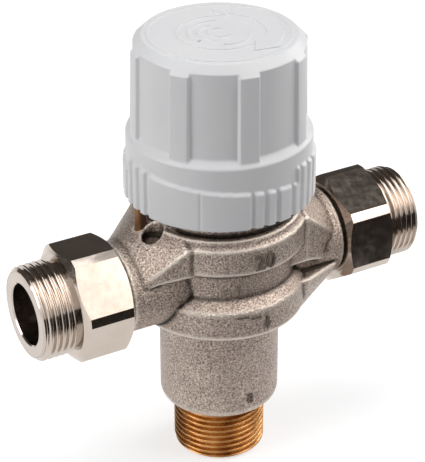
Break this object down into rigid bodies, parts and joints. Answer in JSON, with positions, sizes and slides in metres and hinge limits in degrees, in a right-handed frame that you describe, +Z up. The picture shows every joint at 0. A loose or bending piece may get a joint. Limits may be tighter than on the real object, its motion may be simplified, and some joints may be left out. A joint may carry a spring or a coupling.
{
  "type": "thermostatic mixing valve",
  "caption": "Mixing valve that blends hot and cold water to a set temperature: cast body, two side inlets, a bottom outlet and a white ribbed adjusting knob on top.",
  "frame": {"origin": "centre of the lower end face of the mixed outlet, which the valve stands on", "axes": "+Z up along the knob's axis, +X along the pipe run towards the cold inlet, -X towards the hot inlet, -Y the front"},
  "size_m": [0.1196, 0.0526, 0.1297],
  "materials": {
    "cast_nickel": "sand-cast brass, nickel-plated, dull and grainy",
    "nickel": "turned brass, nickel-plated and bright",
    "raw_brass": "turned brass, bare",
    "white_plastic": "white moulded plastic, satin",
    "black_rubber": "black sealing rubber",
    "fibre": "dark flat gasket",
    "steel": "stainless spring steel",
    "inner_plastic": "dark moulded plastic",
    "copper_alloy": "drawn copper alloy"
  },
  "bodies": {
    "housing": {"valve_body": "cast_nickel", "lock_pin": "raw_brass", "outlet_nipple": "raw_brass", "outlet_nipple_o_ring": "black_rubber", "bonnet": "raw_brass", "bonnet_o_ring": "black_rubber", "spring_seat": "steel", "return_spring": "steel", "hot_connector": "nickel", "hot_connector_gasket": "fibre", "hot_check_housing": "inner_plastic", "hot_check_spring": "steel", "hot_strainer": "steel", "cold_connector": "nickel", "cold_connector_gasket": "fibre", "cold_check_housing": "inner_plastic", "cold_check_spring": "steel", "cold_strainer": "steel"},
    "knob": {"adjusting_knob": "white_plastic", "knob_snap_ring": "steel", "spindle": "raw_brass", "spindle_o_ring_lower": "black_rubber", "spindle_o_ring_upper": "black_rubber", "spindle_clip": "steel"},
    "carrier": {"carrier": "raw_brass", "overload_clip": "steel", "overload_plate": "steel", "overload_spring": "steel", "capsule_pin": "steel"},
    "shuttle": {"shuttle": "inner_plastic", "shuttle_o_ring": "black_rubber", "sensing_capsule": "copper_alloy"},
    "hot_poppet": {"hot_check_poppet": "inner_plastic", "hot_check_seal": "black_rubber"},
    "cold_poppet": {"cold_check_poppet": "inner_plastic", "cold_check_seal": "black_rubber"}
  },
  "joints": [
    {"name": "knob_turn", "type": "hinge", "parent": "housing", "child": "knob", "pos_m": [0, 0, 0.0882], "axis": [0, 0, 1], "range_deg": [-150, 150]},
    {"name": "carrier_travel", "type": "slide", "parent": "housing", "child": "carrier", "axis": [0, 0, 1], "range_m": [-0.00083, 0.00083]},
    {"name": "shuttle_travel", "type": "slide", "parent": "carrier", "child": "shuttle", "axis": [0, 0, 1], "range_m": [-0.0006, 0.0006], "stiffness_N_per_m": 1500, "deforming": ["return_spring"]},
    {"name": "hot_check_travel", "type": "slide", "parent": "housing", "child": "hot_poppet", "axis": [1, 0, 0], "range_m": [0, 0.003], "stiffness_N_per_m": 100, "deforming": ["hot_check_spring"]},
    {"name": "cold_check_travel", "type": "slide", "parent": "housing", "child": "cold_poppet", "axis": [-1, 0, 0], "range_m": [0, 0.003], "stiffness_N_per_m": 100, "deforming": ["cold_check_spring"]}
  ],
  "couplings": [
    {"joint": "knob_turn", "follows": "carrier_travel", "rad_per_m": -3141.6}
  ]
}
